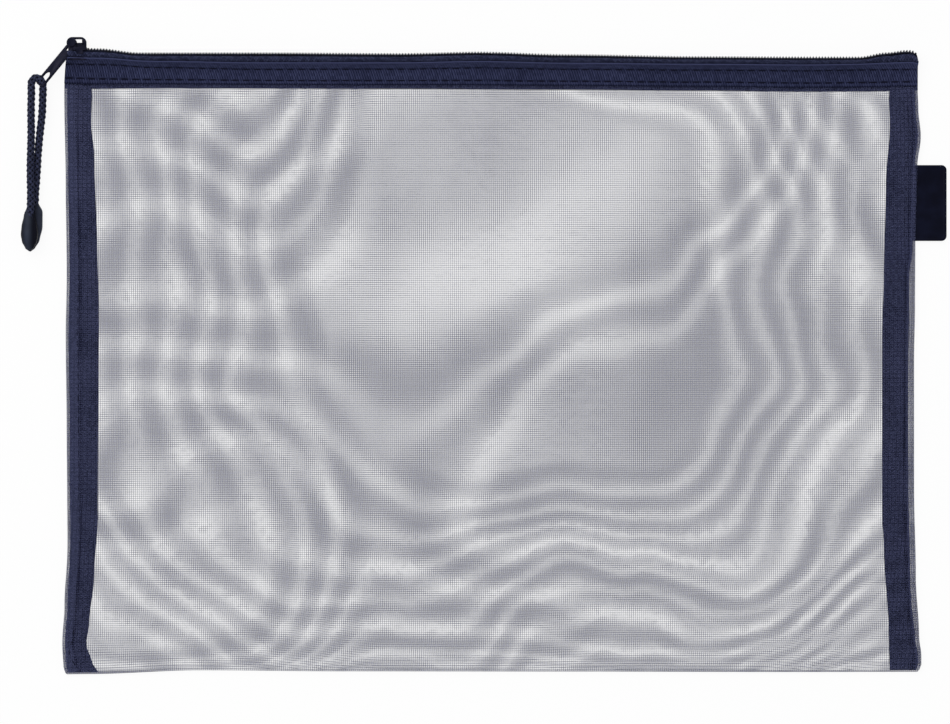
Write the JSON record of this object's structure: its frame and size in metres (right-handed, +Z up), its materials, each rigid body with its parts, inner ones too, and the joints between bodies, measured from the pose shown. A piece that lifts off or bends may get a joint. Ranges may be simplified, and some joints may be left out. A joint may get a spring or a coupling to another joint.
{
  "type": "document wallet",
  "caption": "Flat zip-top document wallet of see-through net, with woven edge bindings, a sliding zip, a cord pull with a drop-shaped end and a plain side tab.",
  "frame": {"origin": "middle of the back panel's outer face, which lies on the table", "axes": "+X to the right along the zip, +Y from the bottom fold to the zip, +Z up, out of the front"},
  "size_m": [0.3682, 0.2531, 0.008],
  "materials": {
    "net": "open woven net of fine coated threads, see-through",
    "binding": "flat woven tape, matte navy",
    "zip_tape": "knitted zip tape, matte navy",
    "coil": "moulded coil, satin",
    "thread": "twisted sewing thread",
    "tab": "smooth soft rubber, satin",
    "slider": "navy paint, satin",
    "cord": "braided cord",
    "cord_end": "moulded plastic, matte"
  },
  "bodies": {
    "root": {"back_panel": "net", "left_side_binding": "binding", "right_side_binding": "binding", "left_seam_stitches": "thread", "right_seam_stitches": "thread", "back_zip_tape": "zip_tape", "back_coil": "coil", "back_zip_binding": "binding", "back_upper_stitches": "thread", "back_lower_stitches": "thread", "side_tab": "tab"},
    "front": {"front_panel": "net", "front_zip_tape": "zip_tape", "front_coil": "coil", "front_zip_binding": "binding", "front_upper_stitches": "thread", "front_lower_stitches": "thread"},
    "slider": {"slider_body": "slider"},
    "pull": {"pull_tab": "slider"},
    "cord": {"pull_cord": "cord", "cord_knot": "cord", "cord_end_front": "cord_end", "cord_end_back": "cord_end"}
  },
  "joints": [
    {"name": "slider_travel", "type": "slide", "parent": "root", "child": "slider", "axis": [1, 0, 0], "range_m": [0, 0.318], "deforming": ["front_coil", "back_coil", "front_zip_tape", "back_zip_tape", "front_zip_binding", "front_upper_stitches", "front_lower_stitches", "front_panel", "pull_cord", "cord_knot", "cord_end_front", "cord_end_back"]},
    {"name": "pull_swing", "type": "hinge", "parent": "slider", "child": "pull", "pos_m": [-0.1667, 0.12715, 0.0041], "axis": [0, 0, -1], "range_deg": [0, 160]},
    {"name": "mouth_open", "type": "hinge", "parent": "root", "child": "front", "pos_m": [0, -0.1226, 0.00115], "axis": [1, 0, 0], "range_deg": [0, 9]},
    {"name": "cord_swing", "type": "hinge", "parent": "pull", "child": "cord", "pos_m": [-0.1799, 0.11114, 0.0041], "axis": [0, 0, -1], "range_deg": [0, 90]}
  ],
  "couplings": [
    {"joint": "pull_swing", "follows": "slider_travel", "rad_per_m": 8.7815},
    {"joint": "mouth_open", "follows": "slider_travel", "rad_per_m": 0.4939}
  ]
}
